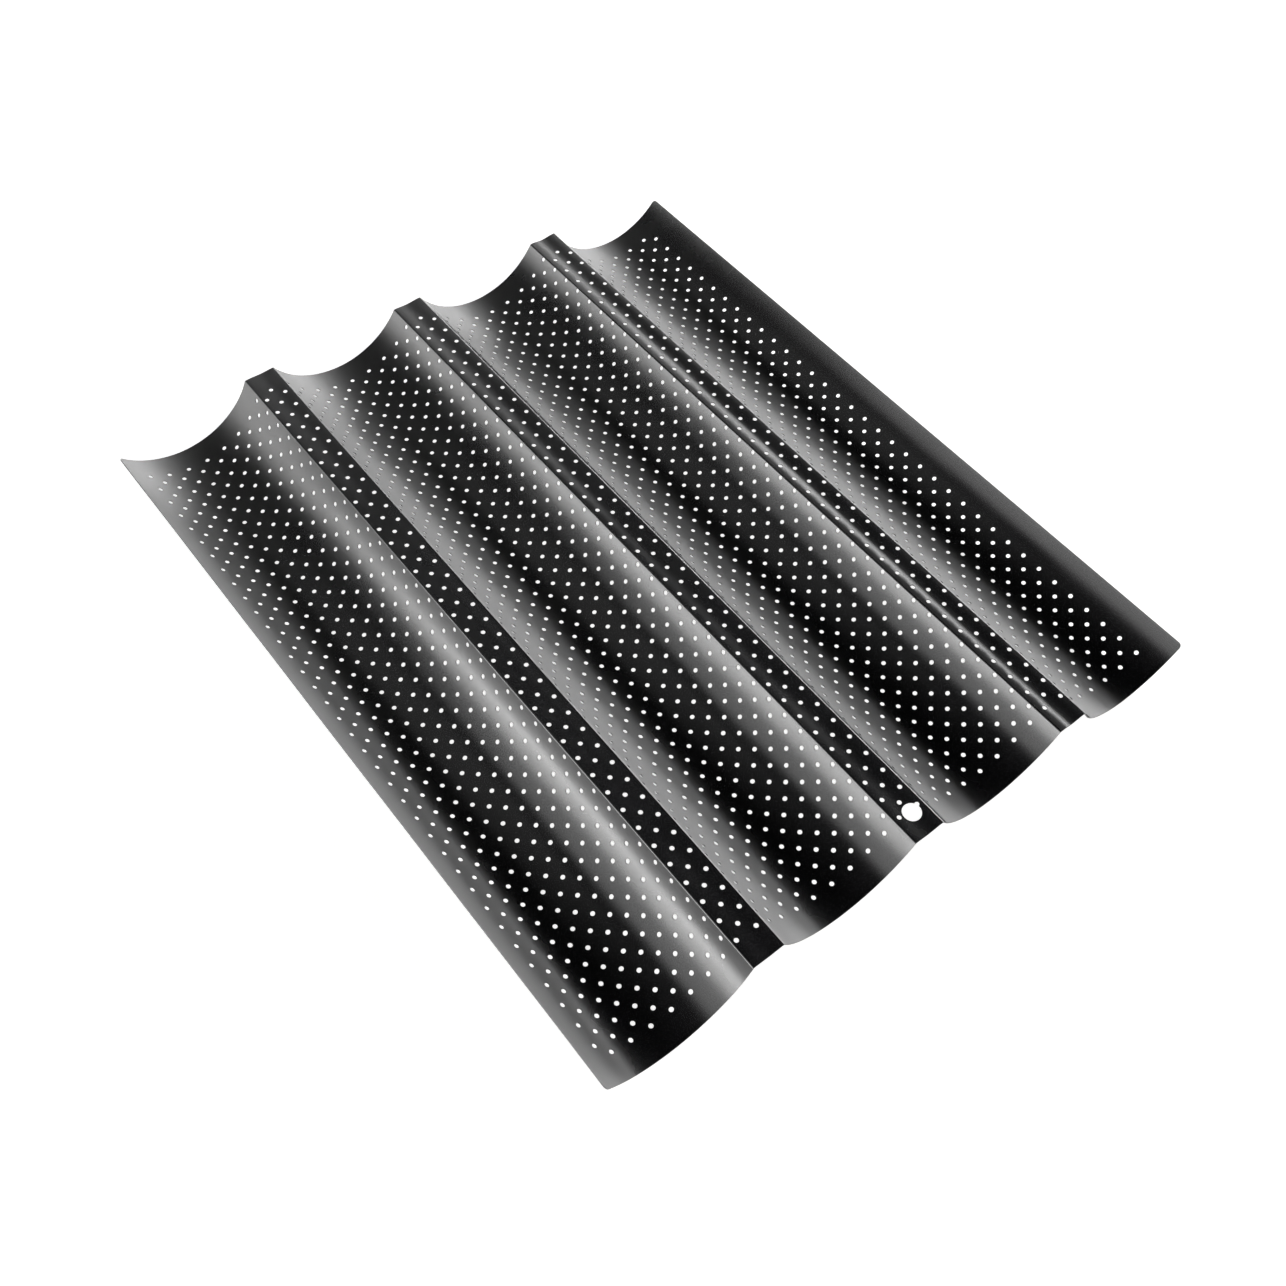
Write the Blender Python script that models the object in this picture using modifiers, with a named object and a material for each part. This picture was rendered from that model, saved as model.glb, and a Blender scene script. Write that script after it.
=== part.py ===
"""Baguette tray: one pressed steel sheet with four round troughs side by side.

Real piece: a single sheet 0.5 mm thick, bent along six long folds. It is modelled as the seven
zones that those folds divide it into: four troughs (channel_1 to channel_4, from -X to +X) and
the three flat ridges between them (ridge_1 to ridge_3). The zones never move against each other.

Frame: metres, +Z up. X runs across the troughs, Y along them. The origin is the middle of the
rectangle that the tray covers, at the height of the table that it stands on.
"""

import math

import bmesh
import bpy

# Driving dimensions, in metres and radians.
LENGTH = 0.380            # along the troughs
RIDGE_WIDTH = 0.0158      # from fold to fold across a ridge
CHANNEL_WIDTH = 0.070     # straight across a trough, from fold to fold
CHANNEL_DEPTH = 0.0195    # ridge top down to the trough's lowest line
OUTER_TILT = math.radians(8.0)   # the two outer troughs lean down towards their free edges
SHEET = 0.0005            # thickness of the steel
FOLD_RADIUS = 0.001       # upper face, at each fold
SLIT = 0.0003             # clearance between neighbouring zones at a fold
FACET = math.radians(4.0)        # one flat step of a trough's arc
FOLD_STEPS = 4            # flat steps round one fold
HANG_HOLE_RADIUS = 0.0041
HANG_HOLE_FROM_END = 0.0112      # near end of the sheet to the hole's centre
HANG_HOLE_ASIDE = 0.0009  # the punch sits this far towards +X from the middle ridge's centre line
CUTTER_HEIGHT = 0.010
HOLE_SIDES = 48

# Worked out from them. A fold rounded with FOLD_RADIUS turns by FOLD_TURN, and the trough's arc
# starts where the rounding ends, so tan(FOLD_TURN / 2) is the root of a quadratic.
HALF_WIDTH = CHANNEL_WIDTH / 2
HALF_TURN_TAN = (
    math.sqrt(HALF_WIDTH ** 2 + 4 * FOLD_RADIUS * CHANNEL_DEPTH) - HALF_WIDTH
) / (2 * FOLD_RADIUS)
FOLD_TURN = 2 * math.atan(HALF_TURN_TAN)
ARC_RADIUS = (
    HALF_WIDTH - FOLD_RADIUS * HALF_TURN_TAN * math.cos(FOLD_TURN)
) / math.sin(FOLD_TURN)
RIDGE_SPACING = RIDGE_WIDTH + CHANNEL_WIDTH
HALF_OVERALL = RIDGE_SPACING + RIDGE_WIDTH / 2 + CHANNEL_WIDTH * math.cos(OUTER_TILT)

COATING_COLOUR = (0.022, 0.022, 0.024, 1.0)
COATING_ROUGHNESS = 0.32


def clear_scene():
    for thing in list(bpy.data.objects):
        bpy.data.objects.remove(thing, do_unlink=True)


def new_collection(name):
    collection = bpy.data.collections.new(name)
    bpy.context.scene.collection.children.link(collection)
    return collection


def coating(name):
    """Black non-stick coating on steel."""
    material = bpy.data.materials.new(name)
    material.use_nodes = True
    shader = material.node_tree.nodes["Principled BSDF"]
    shader.inputs["Base Color"].default_value = COATING_COLOUR
    shader.inputs["Metallic"].default_value = 0.0
    shader.inputs["Roughness"].default_value = COATING_ROUGHNESS
    return material


def steps_between(start, end, step):
    """Evenly spaced values from start to end, at most one step apart."""
    count = max(1, math.ceil(abs(end - start) / step))
    return [start + (end - start) * i / count for i in range(count + 1)]


def fold_end(turn):
    """Where a fold's rounding ends: how far past its corner line, and how far below the ridge."""
    tangent = FOLD_RADIUS * math.tan(turn / 2)
    return tangent * math.cos(turn), tangent * math.sin(turn)


def channel_axis(corner_x, turn):
    """Axis of a trough's arc, seen from the fold at corner_x: x, and height above the ridge."""
    past, below = fold_end(turn)
    return (
        corner_x + past + ARC_RADIUS * math.sin(turn),
        ARC_RADIUS * math.cos(turn) - below,
    )


OUTER_TURN = FOLD_TURN + OUTER_TILT
OUTER_AXIS_X, OUTER_AXIS_UP = channel_axis(RIDGE_SPACING + RIDGE_WIDTH / 2, OUTER_TURN)
RIDGE_TOP = ARC_RADIUS * math.cos(FACET / 2) - OUTER_AXIS_UP + SHEET
FREE_EDGE_ANGLE = math.asin((HALF_OVERALL - OUTER_AXIS_X) / ARC_RADIUS)
SLIT_ANGLE = SLIT / 2 / ARC_RADIUS


def channel_profile(axis_x, axis_z, start, end):
    """Points across a trough, from the angle start to the angle end, with a level lowest facet."""
    angles = steps_between(start, -FACET / 2, FACET) + steps_between(FACET / 2, end, FACET)
    return [
        (axis_x + ARC_RADIUS * math.sin(a), axis_z - ARC_RADIUS * math.cos(a)) for a in angles
    ]


def ridge_profile(centre_x, left_turn, right_turn):
    """Points across a ridge: rounded fold, flat top, rounded fold."""

    def shoulder(turn, side):
        flat_end = RIDGE_WIDTH / 2 - FOLD_RADIUS * math.tan(turn / 2)
        last = turn - SLIT / 2 / FOLD_RADIUS
        return [
            (
                centre_x + side * (flat_end + FOLD_RADIUS * math.sin(last * i / FOLD_STEPS)),
                RIDGE_TOP - FOLD_RADIUS * (1 - math.cos(last * i / FOLD_STEPS)),
            )
            for i in range(FOLD_STEPS + 1)
        ]

    return shoulder(left_turn, -1)[::-1] + shoulder(right_turn, 1)


def pressed_sheet(name, profile, collection):
    """A strip of sheet with its upper face along the profile, running the tray's full length."""
    shape = bmesh.new()
    corners = [shape.verts.new((x, -LENGTH / 2, z)) for x, z in profile]
    edges = [shape.edges.new(pair) for pair in zip(corners, corners[1:])]
    swept = bmesh.ops.extrude_edge_only(shape, edges=edges)
    moved = [item for item in swept["geom"] if isinstance(item, bmesh.types.BMVert)]
    bmesh.ops.translate(shape, verts=moved, vec=(0, LENGTH, 0))
    bmesh.ops.recalc_face_normals(shape, faces=shape.faces)
    if sum(face.normal.z for face in shape.faces) < 0:
        bmesh.ops.reverse_faces(shape, faces=shape.faces)
    mesh = bpy.data.meshes.new(name)
    shape.to_mesh(mesh)
    shape.free()
    sheet = bpy.data.objects.new(name, mesh)
    collection.objects.link(sheet)
    thicken = sheet.modifiers.new("sheet_thickness", "SOLIDIFY")
    thicken.thickness = SHEET
    thicken.offset = -1.0
    thicken.use_even_offset = True
    sheet.data.materials.append(coating(name))
    return sheet


def punch_hanging_hole(sheet, collection):
    """The round hole near the near end of the middle ridge, for hanging the tray on a hook."""
    bpy.ops.mesh.primitive_cylinder_add(
        vertices=HOLE_SIDES,
        radius=HANG_HOLE_RADIUS,
        depth=CUTTER_HEIGHT,
        location=(HANG_HOLE_ASIDE, HANG_HOLE_FROM_END - LENGTH / 2, RIDGE_TOP),
    )
    cutter = bpy.context.active_object
    cutter.name = "hanging_hole_cutter"
    for owner in list(cutter.users_collection):
        owner.objects.unlink(cutter)
    collection.objects.link(cutter)
    cutter.hide_render = True
    cutter.display_type = "WIRE"
    cut = sheet.modifiers.new("hanging_hole", "BOOLEAN")
    cut.operation = "DIFFERENCE"
    cut.solver = "EXACT"
    cut.object = cutter


def mirrored(profile):
    return [(-x, z) for x, z in reversed(profile)]


def main():
    clear_scene()
    tray = new_collection("baguette_tray")
    cutters = new_collection("cutters")

    inner_x, inner_up = channel_axis(RIDGE_WIDTH / 2, FOLD_TURN)
    inner = channel_profile(
        inner_x, RIDGE_TOP + inner_up, SLIT_ANGLE - FOLD_TURN, FOLD_TURN - SLIT_ANGLE
    )
    outer = channel_profile(
        OUTER_AXIS_X, RIDGE_TOP + OUTER_AXIS_UP, SLIT_ANGLE - OUTER_TURN, FREE_EDGE_ANGLE
    )
    pressed_sheet("channel_1", mirrored(outer), tray)
    pressed_sheet("channel_2", mirrored(inner), tray)
    pressed_sheet("channel_3", inner, tray)
    pressed_sheet("channel_4", outer, tray)

    pressed_sheet("ridge_1", ridge_profile(-RIDGE_SPACING, OUTER_TURN, FOLD_TURN), tray)
    middle = pressed_sheet("ridge_2", ridge_profile(0.0, FOLD_TURN, FOLD_TURN), tray)
    pressed_sheet("ridge_3", ridge_profile(RIDGE_SPACING, FOLD_TURN, OUTER_TURN), tray)
    punch_hanging_hole(middle, cutters)


main()
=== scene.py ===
"""Looks of the baguette tray: the perforated sheet itself, its coating, the studio and the camera.

The tray is one pressed sheet, so each CAD zone is replaced by the same zone with its real
perforations. The sheet is laid out flat first, in arc length across the troughs (u) and distance
along them (v), punched there, and then bent onto the pressed section.
"""

import math

import bpy
import numpy as np
from mathutils import Euler, Matrix, Vector
from mathutils.geometry import delaunay_2d_cdt


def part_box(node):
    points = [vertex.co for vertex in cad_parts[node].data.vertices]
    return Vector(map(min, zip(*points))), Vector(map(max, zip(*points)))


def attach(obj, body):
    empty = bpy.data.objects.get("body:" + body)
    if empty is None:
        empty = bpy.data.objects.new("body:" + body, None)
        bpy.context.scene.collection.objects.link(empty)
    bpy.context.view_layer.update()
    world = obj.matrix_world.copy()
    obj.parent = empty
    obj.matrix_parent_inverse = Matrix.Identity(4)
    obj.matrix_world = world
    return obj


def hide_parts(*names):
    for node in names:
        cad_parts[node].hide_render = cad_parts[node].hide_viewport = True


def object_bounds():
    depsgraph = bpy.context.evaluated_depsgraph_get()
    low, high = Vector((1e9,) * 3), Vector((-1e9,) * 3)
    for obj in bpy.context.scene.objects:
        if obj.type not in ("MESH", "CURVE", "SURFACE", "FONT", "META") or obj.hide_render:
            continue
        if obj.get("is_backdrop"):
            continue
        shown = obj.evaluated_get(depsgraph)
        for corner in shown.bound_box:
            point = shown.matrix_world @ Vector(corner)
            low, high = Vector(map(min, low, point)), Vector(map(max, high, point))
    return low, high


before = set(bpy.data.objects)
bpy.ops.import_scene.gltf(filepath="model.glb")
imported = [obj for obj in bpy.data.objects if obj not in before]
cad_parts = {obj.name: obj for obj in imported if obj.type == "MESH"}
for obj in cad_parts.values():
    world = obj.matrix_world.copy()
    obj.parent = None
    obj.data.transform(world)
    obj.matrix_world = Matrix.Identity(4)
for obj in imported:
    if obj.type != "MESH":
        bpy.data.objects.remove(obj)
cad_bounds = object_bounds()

# ---- The pressed section, in metres and radians. The CAD uses the same driving dimensions. ----
RIDGE_WIDTH = 0.0158      # from fold to fold across a ridge
CHANNEL_WIDTH = 0.070     # straight across a trough, from fold to fold
CHANNEL_DEPTH = 0.0195    # ridge top down to an inner trough's lowest line
OUTER_TILT = math.radians(8.0)   # the outer troughs lean down towards their free edges
SHEET = 0.0005            # thickness of the steel
FOLD_RADIUS = 0.001       # upper face, at each fold

HALF_WIDTH = CHANNEL_WIDTH / 2
HALF_TURN_TAN = (
    math.sqrt(HALF_WIDTH ** 2 + 4 * FOLD_RADIUS * CHANNEL_DEPTH) - HALF_WIDTH
) / (2 * FOLD_RADIUS)
FOLD_TURN = 2 * math.atan(HALF_TURN_TAN)
OUTER_TURN = FOLD_TURN + OUTER_TILT
ARC_RADIUS = (
    HALF_WIDTH - FOLD_RADIUS * HALF_TURN_TAN * math.cos(FOLD_TURN)
) / math.sin(FOLD_TURN)

# ---- Where the frame puts it ----
(_, NEAR_END, _), (_, FAR_END, RIDGE_TOP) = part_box("ridge_2")

# ---- Perforations: a staggered pattern, the same step along and across the sheet ----
STEP = 0.005
COLUMNS = range(-36, 36)  # columns of holes across the flat sheet; column 0 is on the centre line
ROWS = 72                 # a column has a hole in every second row
ZONES = ("channel_1", "ridge_1", "channel_2", "ridge_2", "channel_3", "ridge_3", "channel_4")
FOLD_COLUMNS = (-21, -18, -1, 2, 19, 22)   # first column past each of the six folds
FIRST_ROW = -(ROWS - 1) / 2 * STEP
HOLE_RADIUS = 0.0010
HOLE_SIDES = 16
RIM = 0.00012             # rounding of a hole's edge
RIM_LEAN = math.tan(math.radians(62.0))  # how far the surface turns into the hole at its rim

HANG_CENTRE = (0.0009, NEAR_END + 0.0112)   # it cuts into the perforation beside it
HANG_RADIUS = 0.0041
HANG_SIDES = 48

CORNER_RADIUS = 0.002     # of the sheet's four corners
CORNER_STEPS = 6
ARC_STEP = 0.00125        # spacing of mesh lines on either side of a column of holes
FOLD_STEP = 0.0002        # spacing of mesh lines round a fold
MERGE = 1e-6              # points closer than this are one
SLACK = 1e-7              # allowed difference when two lengths are compared
CDT_SLACK = 1e-8          # slack of the triangulation

# ---- Pressing leaves the sheet slightly uneven ----
RIDGE_DIPS = (
    # every ridge sags along a line: depth, where, width to its left, width to its right
    (0.00030, -0.0983, 0.0075, 0.0060),
    (0.00045, -0.0005, 0.0065, 0.0070),
    (0.00070, 0.0988, 0.0054, 0.0070),
)
WAVES = (                 # amplitude, wavelength across, wavelength along, phase
    (0.00005, 0.061, 0.173, 0.4),
    (0.00004, 0.037, 0.094, 2.1),
    (0.00002, 0.023, 0.051, 4.4),
)


# ---------------------------------------------------------------------------- section
def stretches():
    """(length, turn) of each straight or round stretch of the section, from the centre line out.
    A positive turn bends the sheet down."""
    axis_past = FOLD_RADIUS * math.tan(OUTER_TURN / 2) * math.cos(OUTER_TURN)
    outer_axis = RIDGE_WIDTH * 1.5 + CHANNEL_WIDTH + axis_past + ARC_RADIUS * math.sin(OUTER_TURN)
    free_edge = RIDGE_WIDTH * 1.5 + CHANNEL_WIDTH * (1 + math.cos(OUTER_TILT))
    free_turn = math.asin((free_edge - outer_axis) / ARC_RADIUS)
    inner_tangent = FOLD_RADIUS * math.tan(FOLD_TURN / 2)
    outer_tangent = FOLD_RADIUS * math.tan(OUTER_TURN / 2)
    return (
        (RIDGE_WIDTH / 2 - inner_tangent, 0.0),
        (FOLD_RADIUS * FOLD_TURN, FOLD_TURN),
        (ARC_RADIUS * 2 * FOLD_TURN, -2 * FOLD_TURN),
        (FOLD_RADIUS * FOLD_TURN, FOLD_TURN),
        (RIDGE_WIDTH - inner_tangent - outer_tangent, 0.0),
        (FOLD_RADIUS * OUTER_TURN, OUTER_TURN),
        (ARC_RADIUS * (OUTER_TURN + free_turn), -(OUTER_TURN + free_turn)),
    )


STRETCHES = stretches()
FLAT_HALF = sum(length for length, _ in STRETCHES)


def on_section(u):
    """x, z and downward heading of the upper face at the arc lengths u from the centre line."""
    side = np.where(u < 0, -1.0, 1.0)
    far = np.abs(u)
    x = np.zeros_like(far)
    z = np.zeros_like(far)
    heading = np.zeros_like(far)
    start, start_x, start_z, start_heading = 0.0, 0.0, RIDGE_TOP, 0.0
    for length, turn in STRETCHES:
        along = np.clip(far - start, 0.0, length)
        here = far >= start
        if turn:
            bend = length / turn
            angle = start_heading + along / bend
            new_x = start_x + bend * (np.sin(angle) - math.sin(start_heading))
            new_z = start_z + bend * (np.cos(angle) - math.cos(start_heading))
            end_angle = start_heading + turn
            end_x = start_x + bend * (math.sin(end_angle) - math.sin(start_heading))
            end_z = start_z + bend * (math.cos(end_angle) - math.cos(start_heading))
        else:
            angle = np.full_like(far, start_heading)
            new_x = start_x + along * math.cos(start_heading)
            new_z = start_z - along * math.sin(start_heading)
            end_angle = start_heading
            end_x = start_x + length * math.cos(start_heading)
            end_z = start_z - length * math.sin(start_heading)
        x[here], z[here], heading[here] = new_x[here], new_z[here], angle[here]
        start, start_x, start_z, start_heading = start + length, end_x, end_z, end_angle
    return side * x, z, side * heading


def unevenness(u, v):
    """Height of the real sheet over the ideal section, along its normal."""
    height = np.zeros_like(u)
    for amplitude, across, along, phase in WAVES:
        height += amplitude * np.sin(2 * math.pi * u / across + phase) * np.cos(
            2 * math.pi * v / along + 1.7 * phase
        )
    for depth, lowest, left, right in RIDGE_DIPS:
        aside = u - lowest
        share = np.clip(aside / np.where(aside < 0, left, right), -1.0, 1.0)
        height -= depth * (1 + np.cos(math.pi * share)) / 2
    return height


def bent(u, v, depth, lean_u, lean_v):
    """Places flat points on the pressed sheet. depth is below the upper face, and lean points
    into a hole at its rim. Returns positions, surface normals and the leans as 3D directions."""
    x, z, heading = on_section(u)
    across = np.stack([np.cos(heading), np.zeros_like(x), -np.sin(heading)], axis=1)
    normal = np.stack([np.sin(heading), np.zeros_like(x), np.cos(heading)], axis=1)
    along = np.array([0.0, 1.0, 0.0])
    height = unevenness(u, v)
    small = 1e-5
    slope_u = (unevenness(u + small, v) - height) / small
    slope_v = (unevenness(u, v + small) - height) / small
    base = np.stack([x, v, z], axis=1)
    place = base + normal * (height - depth)[:, None]
    shading = normal - across * slope_u[:, None] - along * slope_v[:, None]
    shading /= np.linalg.norm(shading, axis=1)[:, None]
    lean = across * lean_u[:, None] + along * lean_v[:, None]
    return place, shading, lean


# ---------------------------------------------------------------------------- flat sheet
def mesh_lines(u0, u1, centre=None):
    """Values of u between u0 and u1 where the flat mesh needs an edge: beside a column of holes,
    and closely spaced round a fold."""
    marks = set()
    if centre is None:
        count = max(1, round((u1 - u0) / (2 * ARC_STEP)))
        marks.update(u0 + (u1 - u0) * i / count for i in range(1, count))
    else:
        marks.update((centre - ARC_STEP, centre + ARC_STEP))
    start = 0.0
    for length, turn in STRETCHES:
        if turn and length < STEP:
            count = math.ceil(length / FOLD_STEP)
            for i in range(count + 1):
                for side in (-1, 1):
                    marks.add(side * (start + length * i / count))
        start += length
    near = FOLD_STEP / 3
    kept = []
    for mark in sorted(marks):
        if u0 + near < mark < u1 - near and (not kept or mark - kept[-1] > near):
            kept.append(mark)
    return kept


def ring(centre, radius, sides):
    return [
        (
            centre[0] + radius * math.cos(2 * math.pi * (i + 0.5) / sides),
            centre[1] + radius * math.sin(2 * math.pi * (i + 0.5) / sides),
        )
        for i in range(sides)
    ]


def triangulated(outline, lines, holes):
    """Flat triangles inside the outline, with edges along the lines and the round holes left out.
    holes is a list of (centre, radius, sides). Returns points and triangles."""
    points = [Vector(p) for p in outline]
    edges = []
    for start, end in lines:
        edges.append((len(points), len(points) + 1))
        points += [Vector(start), Vector(end)]
    for centre, radius, sides in holes:
        for size in (radius, radius + RIM):
            first = len(points)
            points += [Vector(p) for p in ring(centre, size, sides)]
            edges += [(first + i, first + (i + 1) % sides) for i in range(sides)]
    found, _, faces, *_ = delaunay_2d_cdt(
        points, edges, [list(range(len(outline)))], 1, CDT_SLACK
    )
    flat = np.array([tuple(p) for p in found])
    triangles = np.array([f for f in faces])
    middle = flat[triangles].mean(axis=1)
    kept = np.ones(len(triangles), dtype=bool)
    for centre, radius, sides in holes:
        inside = np.hypot(middle[:, 0] - centre[0], middle[:, 1] - centre[1])
        kept &= inside > radius * math.cos(math.pi / sides)
    return flat, triangles[kept]


def rim_leans(flat, holes):
    """For points on a hole's rim, the direction into the hole. Zero for all others."""
    lean = np.zeros_like(flat)
    for centre, radius, _ in holes:
        out = flat - np.array(centre)
        distance = np.hypot(out[:, 0], out[:, 1])
        rim = distance < radius * (1 + 1e-4)
        lean[rim] = -out[rim] / distance[rim][:, None]
    return lean


def upright(lines, low, high):
    return [((u, low), (u, high)) for u in lines]


def cell_heights(low, high):
    """Where a strip's long sides need points, so that neighbouring strips share them."""
    marks = [NEAR_END, *(FIRST_ROW + STEP * (i - 1) for i in range(ROWS + 2)), FAR_END]
    return [v for v in marks if low - SLACK < v < high + SLACK]


def box_outline(u0, u1, low, high):
    heights = cell_heights(low, high)
    return [(u1, v) for v in heights] + [(u0, v) for v in reversed(heights)]


def column_strip(column):
    """The flat strip of sheet, one step wide, round one column of perforations."""
    centre = column * STEP
    u0, u1 = centre - STEP / 2, centre + STEP / 2
    first = 0 if column % 2 else 1
    start = FIRST_ROW + first * STEP
    count = ROWS // 2
    lines = mesh_lines(u0, u1, centre)
    hole = ((centre, start), HOLE_RADIUS, HOLE_SIDES)
    low, high = start - STEP, start + STEP
    flat, triangles = triangulated(
        box_outline(u0, u1, low, high), upright(lines, low, high), [hole]
    )
    lean = rim_leans(flat, [hole])
    beside_hanging_hole = abs(column) <= 1
    parts = [
        (flat + np.array([0.0, 2 * STEP * i]), triangles, lean)
        for i in range(1 if beside_hanging_hole else 0, count)
    ]
    margins = [(start + STEP * (2 * count - 1), FAR_END)]
    if not beside_hanging_hole:
        margins.append((NEAR_END, start - STEP))
    for low, high in margins:
        margin = triangulated(box_outline(u0, u1, low, high), upright(lines, low, high), [])
        parts.append((*margin, np.zeros_like(margin[0])))
    return parts


def margin_strip(u0, u1, mirrored):
    """The plain band along an outer edge, from u0 out to the free edge u1, with round corners."""
    heights = cell_heights(NEAR_END, FAR_END)
    outline = [(u0, v) for v in reversed(heights)]
    for end, sense in ((NEAR_END, 1), (FAR_END, -1)):
        centre = (u1 - CORNER_RADIUS, end + sense * CORNER_RADIUS)
        turns = [math.pi / 2 * i / CORNER_STEPS for i in range(CORNER_STEPS + 1)]
        if sense < 0:
            turns.reverse()
        outline += [
            (
                centre[0] + CORNER_RADIUS * math.sin(turn),
                centre[1] - sense * CORNER_RADIUS * math.cos(turn),
            )
            for turn in turns
        ]
    lines = upright(mesh_lines(u0, u1), NEAR_END, FAR_END)
    lines += [((u0, v), (u1, v)) for v in heights[1:-1]]
    flat, triangles = triangulated(outline, lines, [])
    if mirrored:
        flat = flat * np.array([-1.0, 1.0])
        triangles = triangles[:, ::-1]
    return [(flat, triangles, np.zeros_like(flat))]


def hanging_patch():
    """The near end of the middle ridge, round the hanging hole, in place of the three strips'
    margins and first cells there."""
    left, right = -1.5 * STEP, 1.5 * STEP
    side_top = FIRST_ROW + STEP
    middle_top = side_top + STEP
    side_heights = cell_heights(NEAR_END, side_top)
    outline = [(right, v) for v in side_heights]
    outline += [(STEP / 2, side_top), (STEP / 2, middle_top)]
    outline += [(-STEP / 2, middle_top), (-STEP / 2, side_top)]
    outline += [(left, v) for v in reversed(side_heights)]
    lines = []
    for column in (-1, 0, 1):
        centre = column * STEP
        top = side_top if column else middle_top
        marks = mesh_lines(centre - STEP / 2, centre + STEP / 2, centre)
        lines += upright(marks, NEAR_END, top)
    holes = [((column * STEP, FIRST_ROW), HOLE_RADIUS, HOLE_SIDES) for column in (-1, 1)]
    holes.append(((0.0, side_top), HOLE_RADIUS, HOLE_SIDES))
    holes.append((HANG_CENTRE, HANG_RADIUS, HANG_SIDES))
    flat, triangles = triangulated(outline, lines, holes)
    return [(flat, triangles, rim_leans(flat, holes))]


def joined(parts):
    """One flat mesh from several, with shared points merged."""
    flat = np.concatenate([p[0] for p in parts])
    lean = np.concatenate([p[2] for p in parts])
    starts = np.cumsum([0] + [len(p[0]) for p in parts[:-1]])
    triangles = np.concatenate([p[1] + start for p, start in zip(parts, starts)])
    _, first, same = np.unique(
        np.round(flat / MERGE).astype(np.int64), axis=0, return_index=True, return_inverse=True
    )
    triangles = same.reshape(-1)[triangles]
    whole = (
        (triangles[:, 0] != triangles[:, 1])
        & (triangles[:, 1] != triangles[:, 2])
        & (triangles[:, 2] != triangles[:, 0])
    )
    triangles = triangles[whole]
    used, packed = np.unique(triangles, return_inverse=True)
    return flat[first][used], packed.reshape(-1, 3), lean[first][used]


# ---------------------------------------------------------------------------- solid sheet
def outer_edges(triangles):
    """Directed edges that only one triangle has, with the sheet on their left."""
    directed = np.concatenate([triangles[:, [0, 1]], triangles[:, [1, 2]], triangles[:, [2, 0]]])
    both = np.sort(directed, axis=1)
    _, first, counts = np.unique(both, axis=0, return_index=True, return_counts=True)
    return directed[first[counts == 1]]


def sheet_piece(name, node, parts, material):
    """Bends a flat zone onto the section, makes it solid and puts it in the node's place."""
    flat, triangles, flat_lean = joined(parts)
    u, v = flat[:, 0], flat[:, 1]
    on_rim = np.any(flat_lean != 0.0, axis=1)
    rim_depth = np.where(on_rim, RIM, 0.0)
    top, top_normal, lean = bent(u, v, rim_depth, flat_lean[:, 0], flat_lean[:, 1])
    bottom, _, _ = bent(u, v, SHEET - rim_depth, flat_lean[:, 0], flat_lean[:, 1])
    bottom_normal = -top_normal + RIM_LEAN * lean
    top_normal = top_normal + RIM_LEAN * lean

    total = len(flat)
    edges = outer_edges(triangles)
    start, end = edges[:, 0], edges[:, 1]
    walls = np.stack([start, start + total, end + total, end], axis=1)
    run = top[end] - top[start]
    wall_flat = np.cross(run, top[start] - bottom[start])
    in_hole = (on_rim[start] & on_rim[end])[:, None]
    wall_start = np.where(in_hole, lean[start], wall_flat)
    wall_end = np.where(in_hole, lean[end], wall_flat)

    mesh = bpy.data.meshes.new(name)
    faces = triangles.tolist() + (triangles[:, ::-1] + total).tolist() + walls.tolist()
    mesh.from_pydata(np.concatenate([top, bottom]).tolist(), [], faces)
    mesh.shade_smooth()
    normals = np.concatenate([
        top_normal[triangles].reshape(-1, 3),
        bottom_normal[triangles[:, ::-1]].reshape(-1, 3),
        np.stack([wall_start, wall_start, wall_end, wall_end], axis=1).reshape(-1, 3),
    ])
    normals /= np.linalg.norm(normals, axis=1)[:, None]
    mesh.normals_split_custom_set(normals.tolist())
    mesh.materials.append(material)
    piece = bpy.data.objects.new(name, mesh)
    bpy.context.scene.collection.objects.link(piece)
    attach(piece, "root")
    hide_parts(node)
    return piece


def zones():
    """Each CAD zone's strips of flat sheet: its columns of perforations and its plain margins."""
    starts = [COLUMNS.start, *FOLD_COLUMNS]
    ends = [*FOLD_COLUMNS, COLUMNS.stop]
    for name, start, end in zip(ZONES, starts, ends):
        parts = []
        for column in range(start, end):
            parts += column_strip(column)
        if name == "channel_1":
            parts += margin_strip(STEP / 2 - STEP * COLUMNS.start, FLAT_HALF, True)
        if name == "ridge_2":
            parts += hanging_patch()
        if name == "channel_4":
            parts += margin_strip(STEP * COLUMNS.stop - STEP / 2, FLAT_HALF, False)
        yield name, parts


# ---------------------------------------------------------------------------- coating
COATING_IOR = 2.8         # reflects more than a plain varnish would at 1.5
# Satin where it is seen square on, dull when seen aslant, and mirror-like at grazing sight.
ROUGHNESS = ((0.0, 0.22), (0.25, 0.27), (0.38, 0.50), (0.8, 0.62), (0.88, 0.10), (1.0, 0.03))
UNEVEN_GLOSS = 0.06       # share of the roughness that varies from place to place
BLACKS = ((0.3, (0.004, 0.004, 0.005)), (0.7, (0.008, 0.008, 0.010)))
PEEL_DEPTH = 0.00002      # the sprayed surface's fine orange peel
PEEL_STRENGTH = 0.12


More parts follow.
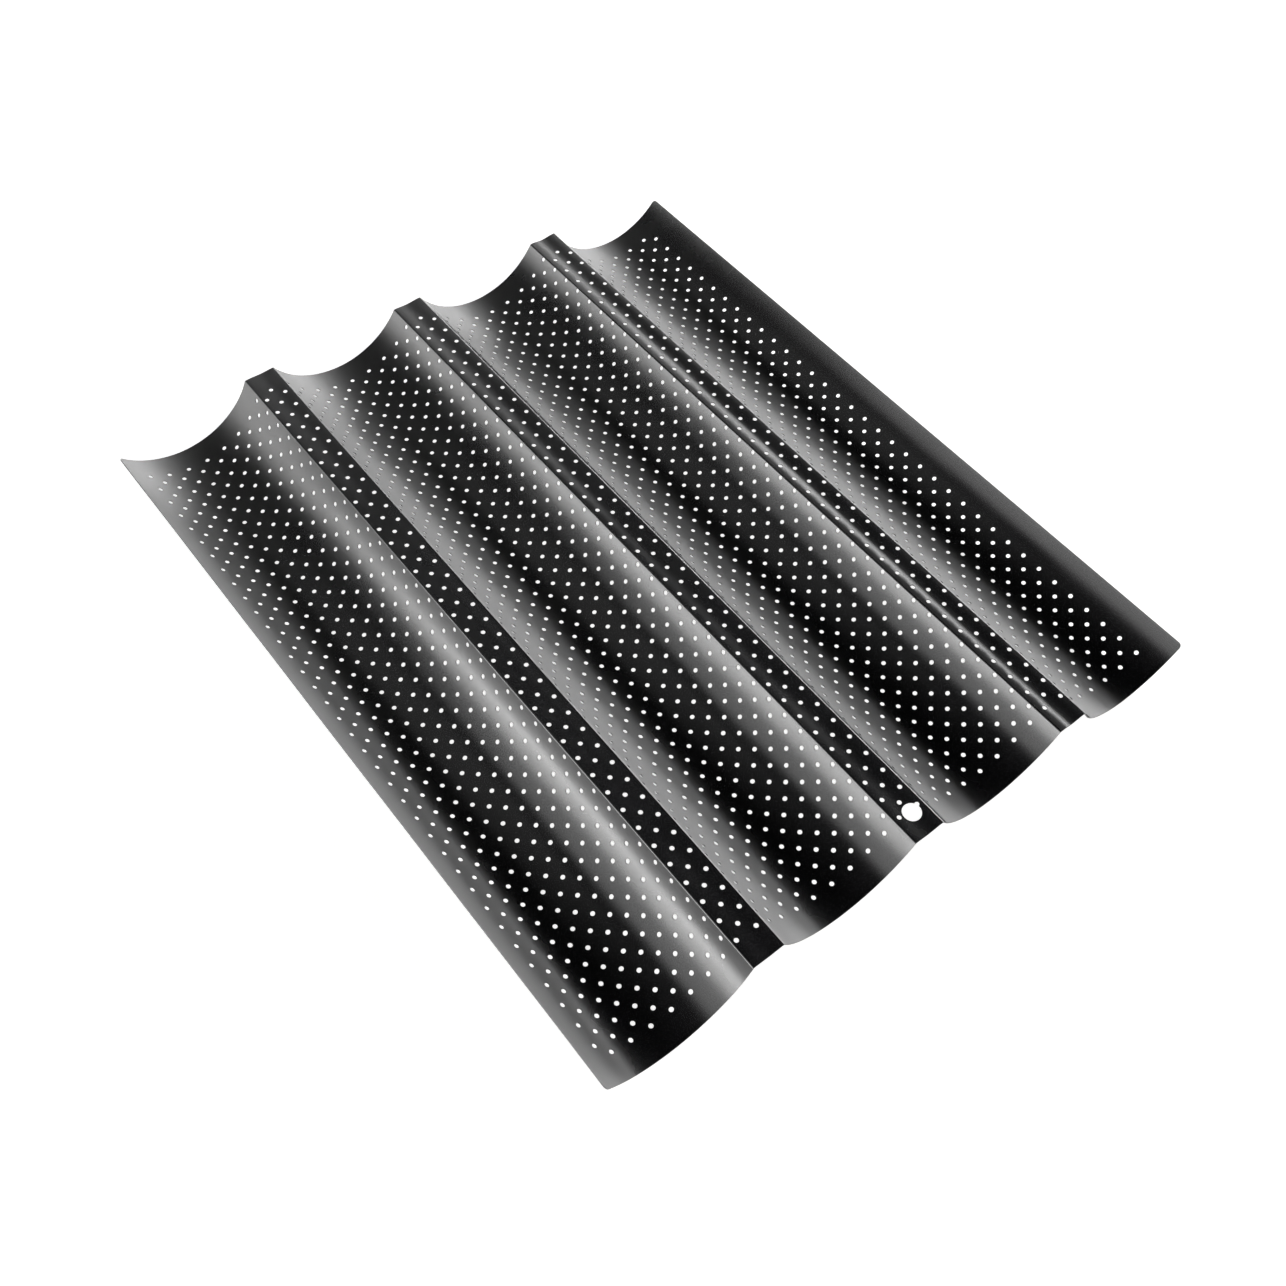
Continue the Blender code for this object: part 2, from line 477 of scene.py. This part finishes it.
def coating():
    """Black non-stick coating, sprayed and baked on: near black, satin, faintly mottled."""
    material = bpy.data.materials.new("nonstick_coating")
    material.use_nodes = True
    nodes = material.node_tree.nodes
    links = material.node_tree.links
    shader = nodes["Principled BSDF"]
    shader.inputs["Metallic"].default_value = 0.0
    shader.inputs["IOR"].default_value = COATING_IOR

    place = nodes.new("ShaderNodeTexCoord").outputs["Object"]

    def noise(scale, detail, rough=0.5):
        texture = nodes.new("ShaderNodeTexNoise")
        texture.inputs["Scale"].default_value = scale
        texture.inputs["Detail"].default_value = detail
        texture.inputs["Roughness"].default_value = rough
        links.new(place, texture.inputs["Vector"])
        return texture.outputs["Fac"]

    def ramp(source, stops):
        blend = nodes.new("ShaderNodeValToRGB")
        elements = blend.color_ramp.elements
        while len(elements) < len(stops):
            elements.new(1.0)
        for element, (position, colour) in zip(elements, stops):
            element.position = position
            element.color = (*colour, 1.0)
        links.new(source, blend.inputs["Fac"])
        return blend.outputs["Color"]

    def curve(source, stops):
        return ramp(source, [(position, (value,) * 3) for position, value in stops])

    mottle = noise(38.0, 4.0, 0.6)
    links.new(ramp(mottle, BLACKS), shader.inputs["Base Color"])
    facing = nodes.new("ShaderNodeLayerWeight")
    facing.inputs["Blend"].default_value = 0.5
    gloss = nodes.new("ShaderNodeMix")
    gloss.inputs["Factor"].default_value = UNEVEN_GLOSS
    links.new(curve(facing.outputs["Facing"], ROUGHNESS), gloss.inputs["A"])
    links.new(noise(55.0, 3.0), gloss.inputs["B"])
    links.new(gloss.outputs["Result"], shader.inputs["Roughness"])

    peel = nodes.new("ShaderNodeBump")
    peel.inputs["Strength"].default_value = PEEL_STRENGTH
    peel.inputs["Distance"].default_value = PEEL_DEPTH
    links.new(noise(900.0, 2.0), peel.inputs["Height"])
    links.new(peel.outputs["Normal"], shader.inputs["Normal"])
    return material


# ---------------------------------------------------------------------------- studio
FLOOR_SIZE = 14.0
FLOOR_HEIGHT = -0.0001    # just clear of the lowest point of the uneven sheet
FLOOR_GLOW = 0.86
SCREEN_RADIUS = 6.5
SCREEN_HEIGHT = 2.6
SCREEN_SIDES = 96
SCREEN_GLOW = 0.30
# azimuth from -Y, elevation and roll in degrees, distance, target on the table, lens in mm
CAMERA = (-41.629, 55.279, 3.912, 0.6504, (-0.02314, -0.03574), 40.08)
SENSOR_WIDTH = 36.0
SOFTBOXES = (
    # name, azimuth from +Y towards +X, elevation, distance, (width, height), radiance
    ("left_low", -75.0, 4.0, 3.0, (3.46, 0.42), 2.6),
    ("left_middle", -82.5, 17.0, 3.0, (2.49, 0.95), 0.8),
    ("left_high", -82.5, 38.0, 3.0, (2.49, 1.28), 0.5),
    ("right_low", 82.5, 4.0, 3.0, (2.49, 0.42), 9.5),
    ("right_middle", 75.0, 12.0, 3.0, (3.46, 0.42), 13.0),
    ("right_upper", 75.0, 21.0, 3.0, (3.46, 0.53), 1.5),
    ("right_front", 130.0, 10.0, 3.0, (2.80, 1.06), 5.0),
    ("back_low", 15.0, 8.0, 3.0, (3.46, 0.84), 0.6),
    ("back_upper", 15.0, 27.0, 3.0, (3.46, 1.17), 0.2),
    ("ceiling", -12.0, 61.0, 3.0, (2.00, 1.00), 0.10),
)


def glowing_paper(name, glow):
    """Matt, pale paper lit evenly from behind, like a light table."""
    material = bpy.data.materials.new(name)
    material.use_nodes = True
    shader = material.node_tree.nodes["Principled BSDF"]
    shader.inputs["Base Color"].default_value = (0.85, 0.85, 0.85, 1.0)
    shader.inputs["Roughness"].default_value = 0.9
    shader.inputs["Specular IOR Level"].default_value = 0.0
    shader.inputs["Emission Color"].default_value = (1.0, 0.998, 0.985, 1.0)
    shader.inputs["Emission Strength"].default_value = glow
    return material


def surroundings():
    """A pale table top whose glow keeps the holes bright, and a low pale screen round it."""
    bpy.ops.mesh.primitive_plane_add(size=FLOOR_SIZE, location=(0.0, 0.0, FLOOR_HEIGHT))
    table_top = bpy.context.active_object
    table_top.name = "floor"
    table_top.data.materials.append(glowing_paper("floor", FLOOR_GLOW))
    table_top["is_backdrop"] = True
    bpy.ops.mesh.primitive_cylinder_add(
        vertices=SCREEN_SIDES,
        radius=SCREEN_RADIUS,
        depth=SCREEN_HEIGHT,
        end_fill_type="NOTHING",
        location=(0.0, 0.0, SCREEN_HEIGHT / 2),
    )
    screen = bpy.context.active_object
    screen.name = "screen"
    screen.data.materials.append(glowing_paper("screen", SCREEN_GLOW))
    screen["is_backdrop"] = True


def softbox(name, azimuth, elevation, distance, size, radiance):
    """A rectangular studio light that points at the tray from that azimuth and elevation."""
    azimuth, elevation = math.radians(azimuth), math.radians(elevation)
    light = bpy.data.lights.new(name, "AREA")
    light.shape = "RECTANGLE"
    light.size, light.size_y = size
    light.energy = radiance * math.pi * size[0] * size[1]
    lamp = bpy.data.objects.new(name, light)
    bpy.context.scene.collection.objects.link(lamp)
    out = Vector((
        math.sin(azimuth) * math.cos(elevation),
        math.cos(azimuth) * math.cos(elevation),
        math.sin(elevation),
    ))
    lamp.location = out * distance
    lamp.rotation_euler = out.to_track_quat("Z", "Y").to_euler()
    return lamp


def studio():
    """All light comes from the softboxes and the glowing paper, so the world itself is black."""
    world = bpy.data.worlds.new("studio")
    world.use_nodes = True
    background = world.node_tree.nodes["Background"]
    background.inputs["Strength"].default_value = 0.0
    bpy.context.scene.world = world
    bpy.context.scene.view_settings.view_transform = "Standard"
    surroundings()
    for box in SOFTBOXES:
        softbox(*box)


def camera():
    """At the photograph's viewing angle: turned to the left of the troughs and well above them."""
    azimuth, elevation, roll, distance, target, lens = CAMERA
    azimuth, elevation, roll = (math.radians(a) for a in (azimuth, elevation, roll))
    data = bpy.data.cameras.new("camera")
    data.lens = lens
    data.sensor_width = SENSOR_WIDTH
    data.clip_start = 0.01
    eye = bpy.data.objects.new("camera", data)
    bpy.context.scene.collection.objects.link(eye)
    aim = Euler((math.pi / 2 - elevation, 0.0, azimuth)).to_matrix()
    turned = aim @ Matrix.Rotation(roll, 3, "Z")
    eye.rotation_euler = turned.to_euler()
    eye.location = Vector((*target, 0.0)) + turned.col[2] * distance
    bpy.context.scene.camera = eye


def main():
    material = coating()
    for node, parts in zones():
        sheet_piece(f"perforated_{node}", node, parts, material)
    studio()
    camera()
    boxes = {"cad": cad_bounds, "visual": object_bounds()}
    {key: [list(corner) for corner in box] for key, box in boxes.items()}


main()
